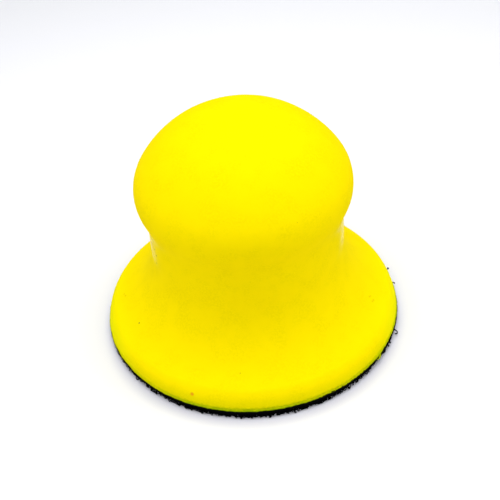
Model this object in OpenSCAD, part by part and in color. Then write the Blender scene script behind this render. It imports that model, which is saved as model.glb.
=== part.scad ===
// Mushroom-shaped hand pad: a moulded foam grip with a hook face for round abrasive discs.
// The origin is the centre of the hook face, where the pad rests. +Z runs up the grip's axis.

/* [Pad] */
// Diameter across the moulding lip, the widest part of the pad
pad_d = 80; // [76:1:82]
// Height from the hook tips to the top of the knob
pad_h = 65; // [65:1:72]
// Radius that rounds the flange's rim
rim_r = 8; // [7:0.5:9]
// Angle up from level at which the rim's arc gives way to the crest's
crest_start = 38; // [34:1:44]
// Radius of the crest, the tighter arc where the flange turns over into the hollow sweep
crest_r = 2.5; // [2:0.25:4]
// Radius of the hollow sweep from the flange up into the neck
flare_r = 20; // [18:0.5:20.5]

/* [Grip] */
// Diameter of the straight neck
neck_d = 51; // [50:1:52]
// Widest diameter of the knob
knob_d = 56; // [54:1:57]
// Radius of the hollow under the knob
throat_r = 14; // [12:1:14]
// Radius that rounds the knob's shoulder
shoulder_r = 11; // [10:0.5:12]
// Radius of the knob's domed top
dome_r = 31; // [30.5:0.5:33]

/* [Foam] */
// Thickness of the dense skin round the foam core
skin_t = 0.8; // [0.5:0.1:1.5]
// How far the moulding lip stands out of the rim
lip_w = 0.25; // [0.1:0.05:0.5]
// Height of the moulding lip
lip_h = 0.6; // [0.3:0.1:1]

/* [Hook tape] */
// Height of the hooks
hook_h = 1.6; // [1.2:0.1:2]
// Thickness of the woven ground cloth that holds the hooks
cloth_t = 0.4; // [0.3:0.05:0.6]
// Thickness of the resin coat that locks the hooks into the cloth
coat_t = 0.15; // [0.1:0.05:0.3]
// Thickness of the glue film between the tape and the foam
glue_t = 0.25; // [0.1:0.05:0.4]
// How far the tape's cut edge stays inside the moulding lip
tape_inset = 0.1; // [0.1:0.1:1]
// How far the glue film stays inside the tape's edge
glue_inset = 0.6; // [0.2:0.1:1.5]

/* [Hidden] */
$fn = 180;

pad_r = pad_d / 2;
flange_r = pad_r - lip_w;
neck_r = neck_d / 2;
tape_r = pad_r - tape_inset;

// Heights of the layers, from the hook tips up to the underside of the foam
cloth_z = hook_h;
coat_z = cloth_z + cloth_t;
glue_z = coat_z + coat_t;
foam_z = glue_z + glue_t;

// Centres of the six arcs of the grip's outline, each tangent to the next
rim_c = [flange_r - rim_r, foam_z];
crest_c = rim_c + (rim_r - crest_r) * [cos(crest_start), sin(crest_start)];
flare_x = neck_r + flare_r;
flare_c = [flare_x, crest_c.y + sqrt((crest_r + flare_r) ^ 2 - (flare_x - crest_c.x) ^ 2)];
dome_c = [0, pad_h - dome_r];
shoulder_x = knob_d / 2 - shoulder_r;
shoulder_c = [shoulder_x, dome_c.y + sqrt((dome_r - shoulder_r) ^ 2 - shoulder_x ^ 2)];
throat_x = neck_r + throat_r;
throat_c = [
    throat_x,
    shoulder_c.y - sqrt((shoulder_r + throat_r) ^ 2 - (throat_x - shoulder_x) ^ 2)
];

// Each arc reaches this far into the next, so that they meet cleanly
overlap = 0.0005;

function direction(from, to) = (to - from) / norm(to - from);

module disc(centre, r) {
    translate(centre)
        circle(r);
}

// The part of the knob's dome that lies beyond the shoulder's arc, and the middle of the knob
module dome_section(r) {
    intersection() {
        disc(dome_c, r);
        polygon([
            [0, flare_c.y],
            shoulder_c,
            shoulder_c + 2 * dome_r * direction(dome_c, shoulder_c),
            [0, dome_c.y + 2 * dome_r]
        ]);
    }
}

// The sector of the rim's disc from level up to the crest
module rim_section(r) {
    intersection() {
        disc(rim_c, r);
        polygon([
            rim_c,
            rim_c + [2 * rim_r, 0],
            rim_c + 2 * rim_r * direction(rim_c, crest_c)
        ]);
    }
}

// Half of the grip's section. A positive inset gives the parallel outline inside the foam.
// The polygon passes through the arcs' centres, so its slanting sides stay inside the discs.
module grip_section(inset = 0) {
    difference() {
        union() {
            polygon([
                [0, foam_z],
                rim_c,
                crest_c,
                flare_c,
                [neck_r - inset, flare_c.y],
                [neck_r - inset, throat_c.y],
                throat_c,
                shoulder_c,
                dome_c
            ]);
            rim_section(rim_r - inset);
            disc(crest_c, crest_r - inset + overlap);
            disc(shoulder_c, shoulder_r - inset + overlap);
            dome_section(dome_r - inset);
        }
        disc(flare_c, flare_r + inset + overlap);
        disc(throat_c, throat_r + inset + overlap);
    }
}

// One round layer of the hook tape
module layer(r, z, thickness) {
    translate([0, 0, z])
        cylinder(h = thickness, r = r);
}

// The dense yellow skin, open below where the foam is glued, with its moulding lip
module foam_skin() {
    color("yellow")
        rotate_extrude()
            difference() {
                union() {
                    grip_section();
                    translate([flange_r - skin_t, foam_z])
                        square([skin_t + lip_w, lip_h]);
                }
                grip_section(skin_t);
            }
}

// The soft cellular foam that fills the skin
module foam_core() {
    color("khaki")
        rotate_extrude()
            grip_section(skin_t);
}

// The glue that holds the tape to the foam
module glue_film() {
    color("goldenrod")
        layer(tape_r - glue_inset, glue_z, glue_t);
}

// The resin on the back of the tape
module resin_coat() {
    color("dimgray")
        layer(tape_r, coat_z, coat_t);
}

// The woven nylon cloth that the hooks grow from
module ground_cloth() {
    color([0.08, 0.08, 0.09])
        layer(tape_r, cloth_z, cloth_t);
}

// The space that the nylon hooks fill, down to their tips
module hook_pile() {
    color([0.05, 0.05, 0.06])
        layer(tape_r, 0, hook_h);
}

foam_skin();
foam_core();
glue_film();
resin_coat();
ground_cloth();
hook_pile();
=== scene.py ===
"""A mushroom-shaped foam hand pad over a disc of black hook tape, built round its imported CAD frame."""

import math
import random

import bpy
from mathutils import Matrix, Vector, noise


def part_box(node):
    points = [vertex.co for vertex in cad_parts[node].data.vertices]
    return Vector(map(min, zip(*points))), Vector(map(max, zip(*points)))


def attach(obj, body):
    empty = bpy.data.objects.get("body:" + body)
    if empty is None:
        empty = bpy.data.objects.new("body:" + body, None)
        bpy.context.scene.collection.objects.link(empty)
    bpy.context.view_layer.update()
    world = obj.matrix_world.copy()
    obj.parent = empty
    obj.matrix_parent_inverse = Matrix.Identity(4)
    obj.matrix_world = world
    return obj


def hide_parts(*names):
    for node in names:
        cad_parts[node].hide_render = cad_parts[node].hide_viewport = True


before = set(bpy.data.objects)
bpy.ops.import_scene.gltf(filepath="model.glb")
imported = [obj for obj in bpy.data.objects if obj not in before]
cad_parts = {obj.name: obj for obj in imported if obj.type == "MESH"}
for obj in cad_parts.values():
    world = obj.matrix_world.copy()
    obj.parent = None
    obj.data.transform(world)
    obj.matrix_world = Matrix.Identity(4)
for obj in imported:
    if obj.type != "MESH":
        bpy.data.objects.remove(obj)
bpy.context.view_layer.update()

MM = 0.001

# Radii of the grip's outline and the size of its moulding lip, as in the CAD model
RIM_R = 8 * MM
RIM_TURN = math.radians(38)
CREST_R = 2.5 * MM
FLARE_R = 20 * MM
NECK_R = 25.5 * MM
KNOB_R = 28 * MM
THROAT_R = 14 * MM
SHOULDER_R = 11 * MM
DOME_R = 31 * MM
LIP_W = 0.25 * MM
LIP_H = 0.6 * MM

# Roundings of the lip's lower and upper edges, and the hollow that the mould left above it
LIP_LOW_R = 0.12 * MM
LIP_HIGH_R = 0.3 * MM
GROOVE_DEPTH = 0.03 * MM
GROOVE_H = 0.5 * MM

# The frame's own sizes
skin_low, skin_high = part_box("foam_skin")
core_low, core_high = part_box("foam_core")
glue_low, glue_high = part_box("glue_film")
coat_low, coat_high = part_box("resin_coat")
cloth_low, cloth_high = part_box("ground_cloth")
hook_low, hook_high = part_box("hook_pile")
PAD_R = skin_high.x
PAD_H = skin_high.z
FOAM_Z = skin_low.z
SKIN_T = skin_high.z - core_high.z
FLANGE_R = PAD_R - LIP_W
TAPE_R = cloth_high.x
GLUE_R = glue_high.x
HOOK_Z = hook_high.z
HOOK_ROOM = hook_high.z - hook_low.z

# Where the pad's lower edge was trimmed closest
TRIM_AZIMUTH = math.radians(-145)
TRIM_WIDTH = math.radians(26)
TRIM_DEPTH = 0.3 * MM

# How far the tape's cut edge stands out all round, and how much more where it stands out most
CUT_FLARE = 0.14 * MM
TAPE_OUT = 0.1 * MM
TAPE_OUT_AZIMUTH = math.radians(-30)

# Hooks: cut loops of monofilament, whose feet go a little way into the cloth
FILAMENT_R = 0.11 * MM
STRAY_FILAMENT_R = 1.5 * FILAMENT_R
FILAMENT_SIDES = 6
HOOK_BEND_R = 0.4 * MM
HOOK_ROOT = 0.1 * MM
HOOK_PITCH = 1.45 * MM
ROW_PITCH = 1.5 * MM
ROW_AZIMUTH = math.radians(-50)
ROW_MARGIN = 0.65 * MM
HOOK_PIECES = 4

# The outer band of the rows, whose hooks lean out, and the crowded band at the cut edge
LEANING_BAND = 1.8 * MM
LEAN_OUT = 0.42
RIM_HOOKS = 2550
RIM_BAND = 1.5 * MM
RIM_MARGIN = 0.22 * MM
RIM_LEAN_OUT = 0.1

# Where hooks crowd the cut edge, and how far from there they stay crowded and turn thin
CROWD_AZIMUTH = math.radians(-92)
CROWDED_TO = math.radians(24)
THIN_FROM = math.radians(44)

# Loose ends
STRAY_COUNT = 150
FRAY_COUNT = 420
YARN_R = 0.035 * MM

# Segments round the pad
SKIN_SEGMENTS = 384
TAPE_SEGMENTS = 768
CORE_SEGMENTS = 180


# ---------------------------------------------------------------- outline of the grip


def direction_angle(start, end):
    """The angle of the line from start to end, in the plane of the outline."""
    return math.atan2(end.y - start.y, end.x - start.x)


def arc(centre, radius, start, end, step):
    """Points of an arc from the angle start to end, at most step apart, without the last one."""
    count = max(2, math.ceil(abs(end - start) * radius / step))
    angles = [start + (end - start) * k / count for k in range(count)]
    return [centre + radius * Vector((math.cos(a), math.sin(a))) for a in angles]


def line(start, end, step):
    """Points of a straight line, at most step apart, without the last one."""
    count = max(1, math.ceil((end - start).length / step))
    return [start.lerp(end, k / count) for k in range(count)]


def arc_centres():
    """Centres of the rim, crest, flare, throat, shoulder and dome arcs, each tangent to the next."""
    rim = Vector((FLANGE_R - RIM_R, FOAM_Z))
    crest = rim + (RIM_R - CREST_R) * Vector((math.cos(RIM_TURN), math.sin(RIM_TURN)))
    flare_x = NECK_R + FLARE_R
    flare_rise = math.sqrt((CREST_R + FLARE_R) ** 2 - (flare_x - crest.x) ** 2)
    flare = Vector((flare_x, crest.y + flare_rise))
    dome = Vector((0, PAD_H - DOME_R))
    shoulder_x = KNOB_R - SHOULDER_R
    shoulder_rise = math.sqrt((DOME_R - SHOULDER_R) ** 2 - shoulder_x**2)
    shoulder = Vector((shoulder_x, dome.y + shoulder_rise))
    throat_x = NECK_R + THROAT_R
    throat_drop = math.sqrt((SHOULDER_R + THROAT_R) ** 2 - (throat_x - shoulder_x) ** 2)
    throat = Vector((throat_x, shoulder.y - throat_drop))
    return rim, crest, flare, throat, shoulder, dome


def grip_outline(inset, step, rim_start=0.0):
    """The grip's outline from the rim up to the top, or the parallel outline inset inside it."""
    rim, crest, flare, throat, shoulder, dome = arc_centres()
    crest_end = direction_angle(crest, flare)
    throat_end = direction_angle(throat, shoulder)
    dome_start = direction_angle(dome, shoulder)
    neck_low = Vector((NECK_R - inset, flare.y))
    neck_high = Vector((NECK_R - inset, throat.y))
    return [
        *arc(rim, RIM_R - inset, rim_start, RIM_TURN, step),
        *arc(crest, CREST_R - inset, RIM_TURN, crest_end, step),
        *arc(flare, FLARE_R + inset, crest_end + math.pi, math.pi, step),
        *line(neck_low, neck_high, step),
        *arc(throat, THROAT_R + inset, math.pi, throat_end, step),
        *arc(shoulder, SHOULDER_R - inset, throat_end - math.pi, dome_start, step),
        *arc(dome, DOME_R - inset, dome_start, math.pi / 2, step),
        Vector((0, PAD_H - inset)),
    ]


def lip_outline():
    """The rounded moulding lip and the shallow hollow above it."""
    low = Vector((PAD_R - LIP_LOW_R, FOAM_Z + LIP_LOW_R))
    high = Vector((PAD_R - LIP_HIGH_R, FOAM_Z + LIP_H - LIP_HIGH_R))
    return [
        *arc(low, LIP_LOW_R, -math.pi / 2, 0, LIP_LOW_R / 4),
        *arc(high, LIP_HIGH_R, 0, math.pi / 2, LIP_HIGH_R / 3),
        Vector((FLANGE_R - 0.6 * GROOVE_DEPTH, FOAM_Z + LIP_H + 0.1 * GROOVE_H)),
        Vector((FLANGE_R - GROOVE_DEPTH, FOAM_Z + LIP_H + 0.5 * GROOVE_H)),
        Vector((FLANGE_R - 0.5 * GROOVE_DEPTH, FOAM_Z + LIP_H + 0.9 * GROOVE_H)),
    ]


# ---------------------------------------------------------------- mesh making


def add_mesh(name, vertices, faces):
    """A smooth-shaded mesh object."""
    mesh = bpy.data.meshes.new(name)
    mesh.from_pydata(vertices, [], faces)
    mesh.shade_smooth()
    mesh.update()
    piece = bpy.data.objects.new(name, mesh)
    bpy.context.scene.collection.objects.link(piece)
    return piece


def revolve(name, outline, segments):
    """A closed solid of revolution. The outline starts and ends on the axis."""
    turns = [2 * math.pi * k / segments for k in range(segments)]
    vertices = [Vector((0, 0, outline[0].y))]
    for point in outline[1:-1]:
        vertices += [Vector((point.x * math.cos(a), point.x * math.sin(a), point.y)) for a in turns]
    vertices.append(Vector((0, 0, outline[-1].y)))
    rings = len(outline) - 2
    last = len(vertices) - 1
    faces = []
    for k in range(segments):
        following = (k + 1) % segments
        faces.append((0, 1 + following, 1 + k))
        for ring in range(rings - 1):
            low = 1 + ring * segments
            high = low + segments
            faces.append((low + k, low + following, high + following, high + k))
        top = 1 + (rings - 1) * segments
        faces.append((top + k, top + following, last))
    return add_mesh(name, vertices, faces)


def displace(piece, offset):
    """Moves each vertex by the vector that offset gives for its place and normal."""
    mesh = piece.data
    moved = [v.co + offset(v.co, v.normal) for v in mesh.vertices]
    for vertex, place in zip(mesh.vertices, moved):
        vertex.co = place
    mesh.update()


def tube(path, radii, sides=FILAMENT_SIDES, flatten=1.0):
    """Vertices and faces of a closed tube along path, with a radius at each point."""
    vertices = []
    faces = []
    across = None
    for k, point in enumerate(path):
        ahead = path[min(k + 1, len(path) - 1)] - path[max(k - 1, 0)]
        ahead.normalize()
        if across is None:
            across = ahead.orthogonal().normalized()
        across = (across - ahead * across.dot(ahead)).normalized()
        beside = ahead.cross(across)
        for s in range(sides):
            turn = 2 * math.pi * s / sides
            reach = across * math.cos(turn) + beside * math.sin(turn) * flatten
            vertices.append(point + reach * radii[k])
    for k in range(len(path) - 1):
        low = k * sides
        high = low + sides
        for s in range(sides):
            following = (s + 1) % sides
            faces.append((low + s, low + following, high + following, high + s))
    faces.append(tuple(reversed(range(sides))))
    faces.append(tuple(range(len(vertices) - sides, len(vertices))))
    return vertices, faces


def add_tubes(name, tubes):
    """One mesh object that holds many tubes."""
    vertices = []
    faces = []
    for tube_vertices, tube_faces in tubes:
        first = len(vertices)
        vertices += tube_vertices
        faces += [tuple(first + index for index in face) for face in tube_faces]
    return add_mesh(name, vertices, faces)


def finish_piece(piece, material, node):
    """Gives a piece its material and its body, and hides the CAD part that it stands for."""
    piece.data.materials.append(material)
    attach(piece, "root")
    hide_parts(node)


# ---------------------------------------------------------------- materials


class Surface:
    """A Principled material and short ways to build the patterns that drive it."""

    def __init__(self, name, roughness, specular):
        self.material = bpy.data.materials.new(name)
        self.material.use_nodes = True
        self.tree = self.material.node_tree
        self.shader = self.tree.nodes["Principled BSDF"]
        self.shader.inputs["Roughness"].default_value = roughness
        self.shader.inputs["Specular IOR Level"].default_value = specular
        self.place = self.node("ShaderNodeTexCoord").outputs["Object"]

    def node(self, kind, **settings):
        """A new node with the given settings."""
        made = self.tree.nodes.new(kind)
        for name, value in settings.items():
            setattr(made, name, value)
        return made

    def link(self, output, socket):
        """Joins an output to a socket."""
        self.tree.links.new(output, socket)

    def feed(self, node, **values):
        """Sets a node's sockets, by name with _ for a space, to numbers or to other outputs."""
        for name, value in values.items():
            socket = node.inputs[name.replace("_", " ")]
            if isinstance(value, bpy.types.NodeSocket):
                self.link(value, socket)
            else:
                socket.default_value = value
        return node

    def noise(self, size, detail=3.0):
        """Noise with features of about size metres."""
        made = self.node("ShaderNodeTexNoise")
        self.feed(made, Vector=self.place, Scale=1 / size, Detail=detail)
        return made.outputs["Fac"]

    def cells(self, size):
        """The distance to the nearest middle of cells of about size metres, in cell sizes."""
        made = self.node("ShaderNodeTexVoronoi")
        self.feed(made, Vector=self.place, Scale=1 / size)
        return made.outputs["Distance"]

    def ramp(self, value, low, high, to_low=0.0, to_high=1.0, smooth=True):
        """Maps value from the range low to high onto to_low to to_high."""
        kind = "SMOOTHSTEP" if smooth else "LINEAR"
        made = self.node("ShaderNodeMapRange", interpolation_type=kind)
        sockets = {"Value": value, "From Min": low, "From Max": high, "To Min": to_low, "To Max": to_high}
        for name, given in sockets.items():
            if isinstance(given, bpy.types.NodeSocket):
                self.link(given, made.inputs[name])
            else:
                made.inputs[name].default_value = given
        return made.outputs["Result"]

    def maths(self, operation, first, second=None):
        """The result of a Math node on one or two values."""
        made = self.node("ShaderNodeMath", operation=operation)
        for socket, value in zip(made.inputs, (first, second)):
            if isinstance(value, bpy.types.NodeSocket):
                self.link(value, socket)
            elif value is not None:
                socket.default_value = value
        return made.outputs["Value"]

    def mix(self, factor, first, second):
        """The first colour where factor is 0, the second where it is 1, and between them elsewhere."""
        made = self.node("ShaderNodeMix", data_type="RGBA")
        for socket, value in zip((made.inputs[0], made.inputs[6], made.inputs[7]), (factor, first, second)):
            if isinstance(value, bpy.types.NodeSocket):
                self.link(value, socket)
            elif isinstance(value, float):
                socket.default_value = value
            else:
                socket.default_value = (*value, 1)
        return made.outputs[2]

    def axis(self, name):
        """One coordinate of the place on the part."""
        made = self.node("ShaderNodeSeparateXYZ")
        self.link(self.place, made.inputs["Vector"])
        return made.outputs[name]

    def near(self, point, radius, core=0.35):
        """1 within core times radius of point, falling smoothly to 0 at radius from it."""
        made = self.node("ShaderNodeVectorMath", operation="DISTANCE")
        self.link(self.place, made.inputs[0])
        made.inputs[1].default_value = point
        return self.ramp(made.outputs["Value"], core * radius, radius, 1.0, 0.0)

    def facing(self):
        """0 where the surface is seen square on, rising to 1 where it is seen edge on."""
        return self.node("ShaderNodeLayerWeight").outputs["Facing"]

    def bump(self, height, distance, strength=1.0, under=None):
        """A bump whose relief is distance metres deep, over the bump under it."""
        made = self.node("ShaderNodeBump")
        self.feed(made, Height=height, Distance=distance, Strength=strength)
        if under is not None:
            self.link(under, made.inputs["Normal"])
        return made.outputs["Normal"]

    def paint(self, colour=None, roughness=None, normal=None):
        """Joins what is given to the shader and returns the material."""
        for name, output in (("Base Color", colour), ("Roughness", roughness), ("Normal", normal)):
            if output is not None:
                self.link(output, self.shader.inputs[name])
        return self.material


def on_grip(azimuth, radius, height):
    """A point at an azimuth in degrees, with its radius and height in millimetres."""
    a = math.radians(azimuth)
    return Vector((radius * math.cos(a), radius * math.sin(a), height)) * MM


def foam_colour(surface):
    """Yellow, slightly mottled, with a fine grain."""
    yellow = (0.95, 0.755, 0.0)
    warm_yellow = (0.95, 0.745, 0.0)
    dull_yellow = (0.885, 0.705, 0.0)
    mottle = surface.ramp(surface.noise(5 * MM, 4.0), 0.35, 0.65)
    grain = surface.ramp(surface.noise(0.5 * MM, 1.0), 0.3, 0.7)
    even = surface.mix(mottle, yellow, warm_yellow)
    uneven = surface.mix(mottle, dull_yellow, yellow)
    return surface.mix(grain, even, uneven)


def front_right(surface):
    """1 at the front right of the rim, falling to 0 away from it."""
    return surface.near(on_grip(-42, 40.0, 3.0), 30 * MM)


def paint_rim_shade(surface, colour, height):
    """Painted shade on the rim: a lime tinge that deepens down to the lip, and a greener yellow on the low
    flanks, with the lip's shade painted weaker at the front left and front right.
    """
    lime = (0.4, 0.52, 0.0)
    deep_lime = (0.25, 0.37, 0.0)
    green_yellow = (0.86, 0.79, 0.0)
    # Painted shade: a lime tinge over the rim's lowest 5 mm, deepest at the bottom.
    shade = surface.ramp(height, FOAM_Z + 1.2 * LIP_H, FOAM_Z + 5 * MM, 0.3, 0.0)
    colour = surface.mix(shade, colour, lime)
    # Painted shade: a greener yellow on the low left and right flanks.
    left_flank = surface.near(on_grip(186, 40.0, 5.0), 24 * MM)
    right_flank = surface.near(on_grip(-6, 40.0, 5.0), 24 * MM)
    flank = surface.maths("MAXIMUM", left_flank, right_flank)
    low = surface.ramp(height, FOAM_Z + 3 * MM, FOAM_Z + 8 * MM, 1.0, 0.0)
    colour = surface.mix(surface.maths("MULTIPLY", flank, low), colour, green_yellow)
    # Painted shade: a deep lime that darkens the lip, with a ragged upper edge.
    wander = surface.ramp(surface.noise(0.9 * MM, 3.0), 0.3, 0.7, -0.16 * MM, 0.16 * MM)
    ragged = surface.maths("ADD", height, wander)
    lip = surface.ramp(ragged, FOAM_Z + 0.1 * MM, FOAM_Z + 1.6 * MM, 1.0, 0.0)
    # The lip's painted shade is weaker at the front left, where the lip was trimmed, and at the front
    # right.
    front_left = surface.near(on_grip(-150, 40.0, 3.0), 26 * MM)
    weaker_shade_right = surface.maths("MULTIPLY", front_right(surface), 0.5)
    weaker_shade = surface.maths("MAXIMUM", front_left, weaker_shade_right)
    kept = surface.ramp(weaker_shade, 0.0, 1.0, 1.0, 0.5, smooth=False)
    return surface.mix(surface.maths("MULTIPLY", lip, kept), colour, deep_lime)


def paint_lip_edge_shade(surface, colour, height):
    """Black painted on the lip's lowest edge as painted shade where it meets the tape, reaching highest at
    the front right.
    """
    # Painted shade: near black on the lip's lowest edge, kept off the burr.
    edge_shade_black = (0.01, 0.012, 0.002)
    shade_reach_most = surface.ramp(front_right(surface), 0.0, 1.0, 0.2 * MM, 0.45 * MM, smooth=False)
    shade_reach = surface.ramp(surface.noise(0.8 * MM, 2.0), 0.3, 0.7, 0.0, shade_reach_most)
    above_tape = surface.maths("SUBTRACT", height, shade_reach)
    edge_shade = surface.ramp(above_tape, FOAM_Z, FOAM_Z + 0.12 * MM, 0.9, 0.0)
    burr = surface.near(on_grip(-37.3, 40.1, 2.4), 2 * MM, core=0.8)
    off_burr = surface.ramp(burr, 0.0, 1.0, 1.0, 0.0)
    return surface.mix(surface.maths("MULTIPLY", edge_shade, off_burr), colour, edge_shade_black)


def mark_skin(surface, colour):
    """Rare open pores, and single marks: where they are, their size in millimetres and their tint."""
    orange = (0.8, 0.36, 0.01)
    ochre = (0.78, 0.6, 0.0)
    soot = (0.22, 0.2, 0.02)
    pores = surface.ramp(surface.cells(2.6 * MM), 0.02, 0.055, 0.6, 0.0)
    rare = surface.ramp(surface.noise(6 * MM, 1.0), 0.6, 0.66)
    colour = surface.mix(surface.maths("MULTIPLY", pores, rare), colour, soot)
    marks = (
        (-115.8, 39.1, 5.6, 0.34, orange),
        (-158.9, 25.5, 32.3, 0.17, soot),
        (-157.7, 25.5, 30.6, 0.2, soot),
        (-159.6, 25.5, 27.4, 0.15, soot),
        (-156.9, 33.0, 10.5, 0.17, soot),
        (-97.6, 33.8, 10.1, 0.1, soot),
        (-15.4, 25.5, 34.3, 0.16, soot),
        (-13.2, 25.5, 27.8, 0.14, soot),
        (179.2, 35.1, 9.2, 0.2, ochre),
        (-179.2, 34.6, 9.4, 0.24, ochre),
        (-17.6, 32.8, 10.7, 0.22, ochre),
        (-16.7, 33.1, 10.6, 0.18, ochre),
        (-17.9, 34.0, 9.9, 0.24, ochre),
        (-19.1, 33.8, 10.0, 0.22, ochre),
    )
    for azimuth, radius, z, size, tint in marks:
        spot = surface.near(on_grip(azimuth, radius, z), 2 * size * MM)
        colour = surface.mix(spot, colour, tint)
    return colour


def neck_band(surface, height):
    """1 along the neck, where handling has polished the skin, falling to 0 above and below it."""
    above_flare = surface.ramp(height, 23 * MM, 29 * MM)
    below_knob = surface.ramp(height, 35 * MM, 39 * MM, 1.0, 0.0)
    return surface.maths("MULTIPLY", above_flare, below_knob)


def skin_material():
    """Yellow self-skinned foam: satin, finely pebbled, glossier where the neck is seen edge on."""
    surface = Surface("yellow_foam_skin", 0.85, 0.011)
    height = surface.axis("Z")
    colour = foam_colour(surface)
    # Painted shade on the rim's lower part and its flanks.
    colour = paint_rim_shade(surface, colour, height)
    # Painted shade on the lip's lowest edge.
    colour = paint_lip_edge_shade(surface, colour, height)
    colour = mark_skin(surface, colour)
    neck = neck_band(surface, height)
    edge_on = surface.ramp(surface.facing(), 0.68, 0.86)
    gloss = surface.ramp(surface.maths("MULTIPLY", neck, edge_on), 0.0, 1.0, 0.9, 0.25, smooth=False)
    varied = surface.ramp(surface.noise(1.5 * MM, 3.0), 0.3, 0.7, -0.04, 0.04)
    roughness = surface.maths("ADD", gloss, varied)
    calm = surface.ramp(neck, 0.0, 1.0, 1.0, 0.2, smooth=False)
    relief = surface.maths("MULTIPLY", surface.noise(0.7 * MM, 3.0), calm)
    pebbles = surface.bump(relief, 0.026 * MM)
    normal = surface.bump(surface.noise(0.18 * MM, 2.0), 0.004 * MM, under=pebbles)
    return surface.paint(colour, roughness, normal)


def core_material():
    """Cellular foam, paler than its skin, with painted shade in its cells' hollows."""
    surface = Surface("foam_cells", 0.9, 0.1)
    wall = surface.ramp(surface.cells(0.5 * MM), 0.1, 0.6)
    # Painted shade: the cells' hollows are painted darker than their walls.
    colour = surface.mix(wall, (0.5, 0.4, 0.08), (0.93, 0.8, 0.28))
    return surface.paint(colour, None, surface.bump(wall, 0.15 * MM))


def glue_material():
    """Cured contact adhesive: amber, uneven, with fine bubbles."""
    surface = Surface("contact_glue", 0.35, 0.4)
    flow = surface.ramp(surface.noise(3 * MM, 4.0), 0.3, 0.7)
    colour = surface.mix(flow, (0.5, 0.3, 0.05), (0.78, 0.6, 0.2))
    bubbles = surface.ramp(surface.cells(0.6 * MM), 0.15, 0.4)
    return surface.paint(colour, None, surface.bump(bubbles, 0.05 * MM))


def coat_material():
    """Black flexible resin that has soaked into the cloth."""
    surface = Surface("resin_coat_black", 0.6, 0.012)
    soak = surface.ramp(surface.noise(1.2 * MM, 3.0), 0.3, 0.7)
    colour = surface.mix(soak, (0.0008, 0.0008, 0.001), (0.003, 0.003, 0.0035))
    return surface.paint(colour, None, surface.bump(surface.noise(0.5 * MM), 0.05 * MM))


def weave_height(surface, pitch):
    """The height of a plain weave: two sets of ribs that change places at each crossing."""
    turned = surface.node("ShaderNodeMapping", vector_type="POINT")
    turned.inputs["Rotation"].default_value = (0, 0, -ROW_AZIMUTH)
    surface.link(surface.place, turned.inputs["Vector"])
    parts = surface.node("ShaderNodeSeparateXYZ")
    surface.link(turned.outputs["Vector"], parts.inputs["Vector"])
    along = surface.maths("SINE", surface.maths("MULTIPLY", parts.outputs["X"], math.pi / pitch))
    across = surface.maths("SINE", surface.maths("MULTIPLY", parts.outputs["Y"], math.pi / pitch))
    crossing = surface.maths("MULTIPLY", along, across)
    return surface.maths("ABSOLUTE", crossing)


def cloth_material():
    """Tightly woven black nylon, with painted shade in the hollows of the weave."""
    surface = Surface("woven_nylon", 0.85, 0.008)
    height = weave_height(surface, 0.45 * MM)
    fuzz = surface.noise(0.12 * MM, 2.0)
    # Painted shade: the weave is painted darker where its ribs sink.
    colour = surface.mix(height, (0.0005, 0.0005, 0.0008), (0.003, 0.003, 0.0035))
    ribs = surface.bump(height, 0.12 * MM)
    return surface.paint(colour, None, surface.bump(fuzz, 0.03 * MM, under=ribs))


def hook_material():
    """Drawn black nylon monofilament, with faint drawing lines."""
    surface = Surface("black_monofilament", 0.5, 0.004)
    streak = surface.noise(0.3 * MM, 2.0)
    colour = surface.mix(streak, (0.0005, 0.0005, 0.0008), (0.002, 0.002, 0.0025))
    roughness = surface.ramp(surface.noise(0.8 * MM), 0.3, 0.7, 0.32, 0.5)
    return surface.paint(colour, roughness, surface.bump(streak, 0.01 * MM))


# ---------------------------------------------------------------- the grip


def azimuth_noise(place, size, seed):
    """Noise that runs round the rim, with waves of about size metres."""
    a = math.atan2(place.y, place.x)
    ring = PAD_R / size
    return noise.noise(Vector((ring * math.cos(a), ring * math.sin(a), seed)))


def trimmed(azimuth):
    """How far the pad's lower edge lies inside its full circle."""
    off = math.remainder(azimuth - TRIM_AZIMUTH, 2 * math.pi)
    return TRIM_DEPTH * math.exp(-((off / TRIM_WIDTH) ** 2))


def skin_offset(place, normal):
    """Slow waves over the whole skin, a ragged edge on the lip, and the trimmed part of the rim."""
    waves = 0.05 * MM * noise.noise(place / (14 * MM))
    pebbles = 0.012 * MM * noise.noise(place / (1.6 * MM))
    offset = normal * (waves + pebbles)
    radius = math.hypot(place.x, place.y)
    if radius < FLANGE_R - 1 * MM:
        return offset
    outward = Vector((place.x, place.y, 0)) / radius
    if radius > FLANGE_R - 0.3 * MM and place.z < FOAM_Z + 1.2 * LIP_H:
        long_waves = 0.12 * MM * azimuth_noise(place, 2.2 * MM, 3.0)
        short_waves = 0.08 * MM * azimuth_noise(place, 0.8 * MM, 9.0)
        lift = 0.1 * MM * azimuth_noise(place, 3.5 * MM, 17.0)
        offset += outward * (long_waves + short_waves) + Vector((0, 0, lift))
    trim_height = 4 * MM
    fade = max(0.0, 1 - (place.z - FOAM_Z) / trim_height)
    return offset - outward * trimmed(math.atan2(place.y, place.x)) * fade


def foam_skin(material):
    """The whole skin: its inner face, its underside, the lip and its outer face."""
    inner = grip_outline(SKIN_T, 1.6 * MM)
    inner.reverse()
    edge = Vector((FLANGE_R - SKIN_T, FOAM_Z))
    outer = grip_outline(0.0, 0.56 * MM, rim_start=math.asin((LIP_H + GROOVE_H) / RIM_R))
    outline = inner + line(edge, Vector((PAD_R - LIP_LOW_R, FOAM_Z)), 0.3 * MM)[1:]
    outline += lip_outline() + outer
    piece = revolve("grip_skin", outline, SKIN_SEGMENTS)
    displace(piece, skin_offset)
    finish_piece(piece, material, "foam_skin")


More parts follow.
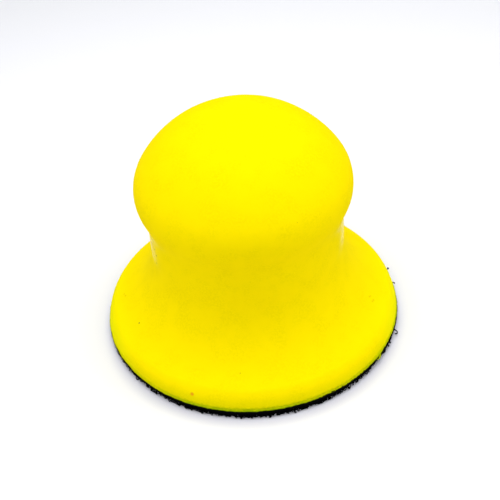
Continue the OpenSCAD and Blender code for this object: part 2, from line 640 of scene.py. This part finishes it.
def foam_core(material):
    """The foam inside the skin, with a hair of room round it."""
    play = 0.03 * MM
    edge = Vector((FLANGE_R - SKIN_T - play, FOAM_Z + play))
    outline = line(Vector((0, FOAM_Z + play)), edge, 2 * MM)
    outline += grip_outline(SKIN_T + play, 2 * MM)[1:]
    piece = revolve("grip_core", outline, CORE_SEGMENTS)
    finish_piece(piece, material, "foam_core")


def lip_burr(material):
    """A torn sliver of the moulding lip, folded down over the tape's edge."""
    path = [
        on_grip(-35.6, 40.0, 2.7),
        on_grip(-36.4, 40.2, 2.4),
        on_grip(-37.2, 40.25, 2.0),
        on_grip(-38.0, 40.15, 1.95),
        on_grip(-38.9, 39.95, 2.5),
    ]
    radii = [size * MM for size in (0.08, 0.32, 0.34, 0.26, 0.08)]
    piece = add_tubes("lip_burr", [tube(path, radii, sides=8, flatten=0.5)])
    finish_piece(piece, material, "foam_skin")


# ---------------------------------------------------------------- the hook tape


def ragged_disc(name, low, high, radius, rag, wave, seed):
    """A round layer of the tape whose cut edge wanders in and out by about rag."""
    bevel = min(0.35 * (high - low), 0.1 * MM)
    flat = radius - bevel
    outline = [
        *line(Vector((0, low)), Vector((flat, low)), 1.5 * MM),
        Vector((flat, low)),
        Vector((radius, low + bevel)),
        Vector((radius, high - bevel)),
        Vector((flat, high)),
        *line(Vector((flat, high)), Vector((0, high)), 4 * MM)[1:],
        Vector((0, high)),
    ]
    piece = revolve(name, outline, TAPE_SEGMENTS)

    def offset(place, normal):
        reach = math.hypot(place.x, place.y)
        if reach < radius - 1 * MM:
            return Vector((0, 0, 0))
        azimuth = math.atan2(place.y, place.x)
        coarse = azimuth_noise(place, wave, seed)
        fine = azimuth_noise(place, 0.4 * wave, seed + place.z / (0.3 * MM))
        stands_out = TAPE_OUT * max(0.0, math.cos(azimuth - TAPE_OUT_AZIMUTH)) ** 2
        change = rag * (coarse + 0.5 * fine) + stands_out - trimmed(azimuth)
        return Vector((place.x, place.y, 0)) / reach * change

    displace(piece, offset)
    return piece


def tape_layers(woven):
    """The glue, the resin coat and the cloth, whose cut edge the coat shares."""
    edge_r = TAPE_R + CUT_FLARE
    glue = ragged_disc("glue_bead", glue_low.z, glue_high.z, GLUE_R, 0.15 * MM, 3 * MM, 21.0)
    finish_piece(glue, glue_material(), "glue_film")
    coat = ragged_disc("tape_coat", coat_low.z, coat_high.z, edge_r, 0.08 * MM, 1.3 * MM, 5.0)
    finish_piece(coat, coat_material(), "resin_coat")
    cloth = ragged_disc("tape_cloth", cloth_low.z, cloth_high.z, edge_r, 0.12 * MM, 1.0 * MM, 5.0)
    finish_piece(cloth, woven, "ground_cloth")


def hook_shape(height, opening):
    """A cut loop: the curled leg and what is left of the other leg, as (along, depth) points."""
    straight = height - FILAMENT_R - HOOK_BEND_R
    leg = [(-HOOK_BEND_R, -HOOK_ROOT), (-HOOK_BEND_R, 0.5 * straight), (-HOOK_BEND_R, straight)]
    steps = 7
    for k in range(1, steps + 1):
        a = math.pi + (-opening - math.pi) * k / steps
        leg.append((HOOK_BEND_R * math.cos(a), straight + HOOK_BEND_R * math.sin(a)))
    stub_u = 1.15 * HOOK_BEND_R
    stub_end = 0.32 * height
    stub = [(stub_u, -HOOK_ROOT), (stub_u, 0.5 * stub_end), (1.05 * HOOK_BEND_R, stub_end)]
    return leg, stub


def place_hook(base, along, down, side, height, opening, lean):
    """The two tubes of one cut loop, standing on base."""
    tubes = []
    for part in hook_shape(height, opening):
        path = []
        for u, depth in part:
            path.append(base + along * u + down * depth + side * (lean * max(depth, 0)))
        tubes.append(tube(path, [FILAMENT_R] * len(path)))
    return tubes


def crowding(azimuth):
    """How thickly hooks line the cut edge: 1 in front and behind, 0 at the sides."""
    off = math.acos(min(1.0, abs(math.cos(azimuth - CROWD_AZIMUTH))))
    t = min(1.0, max(0.0, (THIN_FROM - off) / (THIN_FROM - CROWDED_TO)))
    return t * t * (3 - 2 * t)


def row_hooks():
    """The hooks of the whole tape, row by row, in the order of the rows."""
    draw = random.Random(11)
    along = Vector((math.cos(ROW_AZIMUTH), math.sin(ROW_AZIMUTH), 0))
    across = Vector((-along.y, along.x, 0))
    rows = math.ceil(TAPE_R / ROW_PITCH)
    steps = math.ceil(TAPE_R / HOOK_PITCH)
    hooks = []
    for row in range(-rows, rows + 1):
        facing = 1 if row % 2 else -1
        for step in range(-steps, steps + 1):
            shift = 0.25 * facing * HOOK_PITCH + draw.gauss(0, 0.06 * MM)
            drift = draw.gauss(0, 0.05 * MM)
            base = along * (step * HOOK_PITCH + shift) + across * (row * ROW_PITCH + drift)
            height = HOOK_ROOM * draw.uniform(0.88, 0.99)
            opening = math.radians(draw.uniform(5, 55))
            lean = draw.gauss(0, 0.1)
            turn = draw.gauss(0, 0.12)
            tip = draw.gauss(0.0, 0.06)
            splay = draw.random()
            luck = draw.random()
            azimuth = math.atan2(base.y, base.x)
            room = TAPE_R - trimmed(azimuth) - base.length
            if room < ROW_MARGIN:
                continue
            outward = base.normalized()
            edge = max(0.0, 1 - room / LEANING_BAND)
            crowd = crowding(azimuth)
            if edge * luck > 0.3 + 0.7 * crowd:
                continue
            splay *= 0.4 + 0.6 * crowd
            hook_along = (along * math.cos(turn) + across * math.sin(turn)) * facing
            hook_side = (across * math.cos(turn) - along * math.sin(turn)) * facing
            down = Vector((0, 0, -1)) + hook_along * tip + outward * (LEAN_OUT * edge * splay)
            base = base + Vector((0, 0, HOOK_Z))
            hooks.append(place_hook(base, hook_along, down, hook_side, height, opening, lean))
    return hooks


def rim_hooks():
    """The hooks of the tape's outermost band, which cutting the disc has crowded and splayed."""
    draw = random.Random(7)
    hooks = []
    for k in range(RIM_HOOKS):
        a = 2 * math.pi * (k + draw.uniform(-0.4, 0.4)) / RIM_HOOKS
        outward = Vector((math.cos(a), math.sin(a), 0))
        crowd = crowding(a)
        depth_in = draw.random() ** 1.3
        base = outward * (TAPE_R - trimmed(a) - RIM_MARGIN - RIM_BAND * depth_in)
        heading = ROW_AZIMUTH + draw.gauss(0, 0.5) + math.pi * draw.randrange(2)
        along = Vector((math.cos(heading), math.sin(heading), 0))
        side = Vector((-along.y, along.x, 0))
        lean_out = RIM_LEAN_OUT * crowd * (1 - depth_in) * draw.random()
        down = Vector((0, 0, -1)) + outward * lean_out
        height = HOOK_ROOM * draw.uniform(0.93, 0.995)
        opening = math.radians(draw.uniform(0, 50))
        lean = draw.gauss(0, 0.08)
        if draw.random() > 0.2 + 0.8 * crowd:
            continue
        base = base + Vector((0, 0, HOOK_Z))
        hooks.append(place_hook(base, along, down, side, height, opening, lean))
    return hooks


def stray_hook(azimuth, base_r, reach, droop, curl, bend, girth):
    """A hook at the cut edge that lies over sideways and stands out past the rim."""
    a = math.radians(azimuth)
    outward = Vector((math.cos(a), math.sin(a), 0))
    along = Vector((-math.sin(a), math.cos(a), 0)) * curl
    down = outward * math.cos(droop) - Vector((0, 0, math.sin(droop)))
    base = outward * (base_r - trimmed(a)) + Vector((0, 0, HOOK_Z - HOOK_ROOT))
    straight = reach - girth - bend
    path = [base - down * 0.3 * MM, base + down * 0.5 * straight, base + down * straight]
    steps = 7
    curl_turn = math.radians(165)
    for k in range(1, steps + 1):
        angle = curl_turn * k / steps
        ahead = straight + bend * math.sin(angle)
        path.append(base + down * ahead + along * bend * (1 - math.cos(angle)))
    for point in path:
        point.z = max(point.z, girth)
    return [tube(path, [girth] * len(path))]


def scattered_strays():
    """Short strays all round the rim, most of them where the rows end."""
    draw = random.Random(23)
    strays = []
    for k in range(STRAY_COUNT):
        azimuth = draw.uniform(0, 360)
        ending = abs(math.cos(math.radians(azimuth) - ROW_AZIMUTH))
        reach = (draw.uniform(0.5, 0.8) + 0.5 * draw.random() * ending**2) * MM
        droop = math.radians(draw.uniform(15, 70))
        curl = draw.choice((-1, 1))
        bend = draw.uniform(0.15, 0.35) * MM
        if draw.random() > 0.25 + 0.75 * ending**3:
            continue
        base_r = TAPE_R - 0.7 * MM
        strays.append(stray_hook(azimuth, base_r, reach, droop, curl, bend, FILAMENT_R))
    return strays


def long_strays():
    """The strays that catch the eye: azimuth, how far out, droop, way of the curl and its radius."""
    base_r = TAPE_R - 0.4 * MM
    strays = []
    for azimuth, stands_out, droop, curl, bend in (
        (-19.8, 1.15, 20, -1, 0.7),
        (15.9, 1.65, 8, 1, 0.25),
        (7.4, 1.05, 8, -1, 0.2),
        (-26.8, 0.35, 40, 1, 0.15),
        (-28.2, 0.3, 45, -1, 0.15),
        (-50.1, 0.2, 50, -1, 0.25),
        (-55.2, 0.35, 50, 1, 0.25),
        (-77.8, 0.4, 55, 1, 0.2),
        (-86.6, 0.4, 55, -1, 0.2),
        (-93.7, 0.3, 55, 1, 0.2),
        (-97.0, 0.35, 55, -1, 0.2),
        (-132.5, 0.1, 60, 1, 0.25),
        (-134.5, 0.1, 60, -1, 0.25),
        (-149.1, 0.1, 55, 1, 0.2),
    ):
        droop = math.radians(droop)
        reach = (PAD_R + stands_out * MM - base_r) / math.cos(droop)
        strays.append(stray_hook(azimuth, base_r, reach, droop, curl, bend * MM, STRAY_FILAMENT_R))
    return strays


def join_tubes(hooks):
    """The tubes of many hooks, in one list."""
    return [one for hook in hooks for one in hook]


def hook_pile(material):
    """All the hooks: the rows in four pieces, the crowded rim and the strays."""
    hooks = row_hooks()
    share = math.ceil(len(hooks) / HOOK_PIECES)
    for k in range(HOOK_PIECES):
        piece = add_tubes(f"hook_rows_{k + 1}", join_tubes(hooks[k * share : (k + 1) * share]))
        finish_piece(piece, material, "hook_pile")
    piece = add_tubes("hooks_at_rim", join_tubes(rim_hooks()))
    finish_piece(piece, material, "hook_pile")
    piece = add_tubes("hooks_at_edge", join_tubes(scattered_strays() + long_strays()))
    finish_piece(piece, material, "hook_pile")


def edge_fray(material):
    """Fine yarn ends along the cloth's cut edge."""
    draw = random.Random(31)
    tubes = []
    for k in range(FRAY_COUNT):
        a = draw.uniform(0, 2 * math.pi)
        outward = Vector((math.cos(a), math.sin(a), 0))
        along = Vector((-outward.y, outward.x, 0))
        height = draw.uniform(cloth_low.z + 0.05 * MM, cloth_high.z - 0.05 * MM)
        start = outward * (TAPE_R - 0.2 * MM) + Vector((0, 0, height))
        reach = draw.uniform(0.15, 0.42) * MM
        drift = draw.uniform(-0.3, 0.3) * MM
        fall = draw.uniform(0.0, 0.3) * MM
        sag = along * drift - Vector((0, 0, fall))
        path = [start + outward * reach * t + sag * t * t for t in (0.0, 0.25, 0.5, 0.75, 1.0)]
        tubes.append(tube(path, [YARN_R] * len(path), sides=5))
    piece = add_tubes("cloth_edge_fray", tubes)
    finish_piece(piece, material, "ground_cloth")


# ---------------------------------------------------------------- studio


def add_camera():
    """The main view: from the front, 43 degrees up, tilted a little to the left."""
    elevation = math.radians(43.27)
    distance = 302.9 * MM
    look_up = math.radians(3.17)
    look_left = math.radians(0.086)
    roll = math.radians(4.47)
    data = bpy.data.cameras.new("camera")
    data.sensor_width = 36
    data.lens = 77.53
    data.clip_start = 0.01
    camera = bpy.data.objects.new("camera", data)
    bpy.context.scene.collection.objects.link(camera)
    place = Matrix.Translation((0, -distance * math.cos(elevation), distance * math.sin(elevation)))
    pitch = Matrix.Rotation(math.pi / 2 - elevation + look_up, 4, "X")
    pan = Matrix.Rotation(-look_left, 4, "Y")
    tilt = Matrix.Rotation(-roll, 4, "Z")
    camera.matrix_world = place @ pitch @ pan @ tilt
    bpy.context.scene.camera = camera


def add_light(name, place, size, power):
    """A round soft light of size metres that faces the grip."""
    data = bpy.data.lights.new(name, "AREA")
    data.shape = "DISK"
    data.size = size
    data.energy = power
    light = bpy.data.objects.new(name, data)
    bpy.context.scene.collection.objects.link(light)
    light.location = place
    aim = Vector((0, 0, 0.03)) - Vector(place)
    light.rotation_euler = aim.to_track_quat("-Z", "Y").to_euler()


def add_floor():
    """A white floor with painted light: greyer far away as painted light falloff, and a painted contact
    shadow, darker and bluer, right beside the pad.
    """
    mesh = bpy.data.meshes.new("floor")
    reach = 3.0
    corners = [(-reach, -reach, 0), (reach, -reach, 0), (reach, reach, 0), (-reach, reach, 0)]
    mesh.from_pydata(corners, [], [(0, 1, 2, 3)])
    floor = bpy.data.objects.new("floor", mesh)
    bpy.context.scene.collection.objects.link(floor)
    surface = Surface("white_floor", 0.9, 0.0)
    # Painted light: the floor is painted brighter round the pad and greyer far from it.
    painted_light_pool = surface.near((0, 0, 0), 300 * MM)
    colour = surface.mix(painted_light_pool, (0.65, 0.655, 0.67), (0.84, 0.84, 0.865))
    # Painted shadow: a darker, bluer ring painted right beside the pad, reaching a little further in front.
    beside = surface.near((0, -2.2 * MM, 0), 1.06 * PAD_R, core=0.91)
    surface.paint(surface.mix(beside, colour, (0.7, 0.695, 0.745)))
    mesh.materials.append(surface.material)


def add_studio():
    """A pale surrounding, four soft lights and the floor."""
    world = bpy.data.worlds.new("studio")
    world.use_nodes = True
    background = world.node_tree.nodes["Background"]
    background.inputs["Color"].default_value = (0.93, 0.95, 1.0, 1)
    background.inputs["Strength"].default_value = 0.375
    bpy.context.scene.world = world
    add_light("overhead", (0, 0, 0.8), 0.9, 5.75)
    add_light("front", (0, -0.6, 0.6), 0.5, 1.12)
    add_light("left", (-0.7, 0, 0.4), 0.5, 1.04)
    add_light("right", (0.7, 0, 0.4), 0.5, 1.38)
    bpy.context.scene.view_settings.view_transform = "Standard"
    add_floor()


# ---------------------------------------------------------------- all together

add_camera()
add_studio()
skin = skin_material()
woven = cloth_material()
foam_skin(skin)
foam_core(core_material())
lip_burr(skin)
tape_layers(woven)
hook_pile(hook_material())
edge_fray(woven)

bpy.context.view_layer.update()
